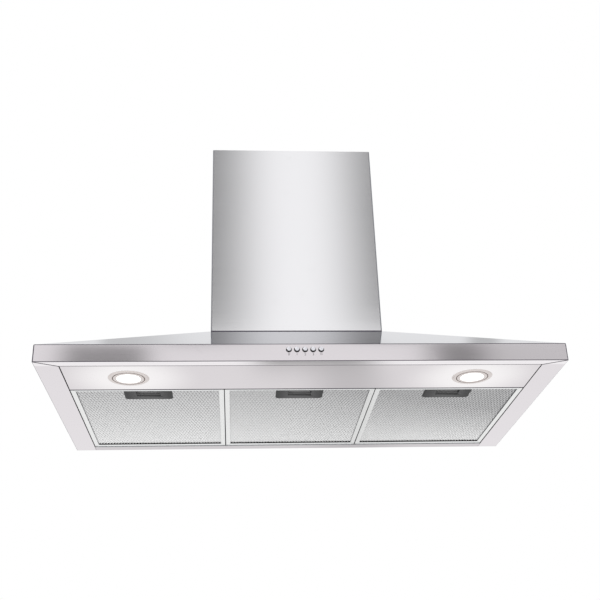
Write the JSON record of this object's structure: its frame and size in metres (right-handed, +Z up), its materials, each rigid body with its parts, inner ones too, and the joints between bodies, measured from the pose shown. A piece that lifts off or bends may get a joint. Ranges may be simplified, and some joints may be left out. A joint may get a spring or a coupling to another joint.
{
  "type": "wall chimney range hood",
  "caption": "Wall-mounted steel canopy hood with chimney cover, grease filters, lamps, push buttons and a drum blower with non-return flaps",
  "frame": {"origin": "on the wall plane, at the hood's middle, level with its underside", "axes": "+X to the right along the hood's width, +Y into the wall, +Z up"},
  "size_m": [0.9, 0.5045, 0.5434],
  "materials": {
    "steel_skin": "satin brushed stainless sheet",
    "galvanised": "galvanised sheet with faint spangle",
    "bolt_steel": "zinc-plated steel",
    "cast_aluminium": "matt cast aluminium",
    "filter_aluminium": "satin anodised channel",
    "filter_mesh": "layered expanded mesh",
    "latch_plastic": "dark grey moulded plastic",
    "lamp_trim": "satin chrome ring",
    "lamp_glass": "frosted lens",
    "white_plastic": "white moulded plastic",
    "black_plastic": "black moulded plastic",
    "grey_plastic": "grey moulded plastic",
    "button_metal": "polished plated cap",
    "motor_paint": "dark stove enamel",
    "bronze": "sintered bearing metal"
  },
  "bodies": {
    "canopy": {"canopy_shell": "steel_skin", "back_panel": "galvanised", "light_panel": "steel_skin", "lower_chimney": "steel_skin", "lamp_rings": "lamp_trim", "lamp_lenses": "lamp_glass", "lamp_bodies": "cast_aluminium", "lamp_clips": "galvanised", "lamp_driver": "white_plastic", "switch_block": "black_plastic", "switch_bracket": "galvanised", "motor_box": "galvanised", "foot_bolts": "bolt_steel", "volute_left": "galvanised", "volute_right": "galvanised", "motor_bracket": "galvanised", "motor_case": "motor_paint", "motor_bearings": "bronze", "outlet_collar": "grey_plastic", "flap_pin": "bolt_steel", "terminal_box": "black_plastic", "terminal_lid": "black_plastic", "cable_gland": "black_plastic", "capacitor": "white_plastic"},
    "upper_chimney": {"upper_chimney": "steel_skin", "chimney_bracket": "galvanised"},
    "fan": {"fan_shaft": "bolt_steel", "impeller": "grey_plastic"},
    "flap_front": {"flap_front": "grey_plastic"},
    "flap_rear": {"flap_rear": "grey_plastic"},
    "filter_left": {"filter_frame_left": "filter_aluminium", "filter_mesh_left": "filter_mesh", "latch_plate_left": "latch_plastic"},
    "latch_left": {"latch_slider_left": "latch_plastic"},
    "filter_middle": {"filter_frame_middle": "filter_aluminium", "filter_mesh_middle": "filter_mesh", "latch_plate_middle": "latch_plastic"},
    "latch_middle": {"latch_slider_middle": "latch_plastic"},
    "filter_right": {"filter_frame_right": "filter_aluminium", "filter_mesh_right": "filter_mesh", "latch_plate_right": "latch_plastic"},
    "latch_right": {"latch_slider_right": "latch_plastic"},
    "button_off": {"button_off": "button_metal"},
    "button_speed_1": {"button_speed_1": "button_metal"},
    "button_speed_2": {"button_speed_2": "button_metal"},
    "button_speed_3": {"button_speed_3": "button_metal"},
    "button_lamp": {"button_lamp": "button_metal"}
  },
  "joints": [
    {"name": "chimney_slide", "type": "slide", "parent": "canopy", "child": "upper_chimney", "axis": [0, 0, 1], "range_m": [0, 0.355]},
    {"name": "fan_spin", "type": "hinge", "parent": "canopy", "child": "fan", "pos_m": [0, -0.168, 0.2565], "axis": [1, 0, 0], "continuous": true},
    {"name": "flap_front_swing", "type": "hinge", "parent": "canopy", "child": "flap_front", "pos_m": [0, -0.111, 0.396], "axis": [-1, 0, 0], "range_deg": [0, 75]},
    {"name": "flap_rear_swing", "type": "hinge", "parent": "canopy", "child": "flap_rear", "pos_m": [0, -0.111, 0.396], "axis": [1, 0, 0], "range_deg": [0, 75]},
    {"name": "filter_left_swing", "type": "hinge", "parent": "canopy", "child": "filter_left", "pos_m": [0, -0.022, 0.001], "axis": [1, 0, 0], "range_deg": [0, 60]},
    {"name": "latch_left_pull", "type": "slide", "parent": "filter_left", "child": "latch_left", "axis": [0, 1, 0], "range_m": [0, 0.005], "stiffness_N_per_m": 400},
    {"name": "filter_middle_swing", "type": "hinge", "parent": "canopy", "child": "filter_middle", "pos_m": [0, -0.022, 0.001], "axis": [1, 0, 0], "range_deg": [0, 60]},
    {"name": "latch_middle_pull", "type": "slide", "parent": "filter_middle", "child": "latch_middle", "axis": [0, 1, 0], "range_m": [0, 0.005], "stiffness_N_per_m": 400},
    {"name": "filter_right_swing", "type": "hinge", "parent": "canopy", "child": "filter_right", "pos_m": [0, -0.022, 0.001], "axis": [1, 0, 0], "range_deg": [0, 60]},
    {"name": "latch_right_pull", "type": "slide", "parent": "filter_right", "child": "latch_right", "axis": [0, 1, 0], "range_m": [0, 0.005], "stiffness_N_per_m": 400},
    {"name": "button_off_press", "type": "slide", "parent": "canopy", "child": "button_off", "axis": [0, 1, 0], "range_m": [0, 0.003], "stiffness_N_per_m": 400},
    {"name": "button_speed_1_press", "type": "slide", "parent": "canopy", "child": "button_speed_1", "axis": [0, 1, 0], "range_m": [0, 0.003], "stiffness_N_per_m": 400},
    {"name": "button_speed_2_press", "type": "slide", "parent": "canopy", "child": "button_speed_2", "axis": [0, 1, 0], "range_m": [0, 0.003], "stiffness_N_per_m": 400},
    {"name": "button_speed_3_press", "type": "slide", "parent": "canopy", "child": "button_speed_3", "axis": [0, 1, 0], "range_m": [0, 0.003], "stiffness_N_per_m": 400},
    {"name": "button_lamp_press", "type": "slide", "parent": "canopy", "child": "button_lamp", "axis": [0, 1, 0], "range_m": [0, 0.003], "stiffness_N_per_m": 400}
  ]
}
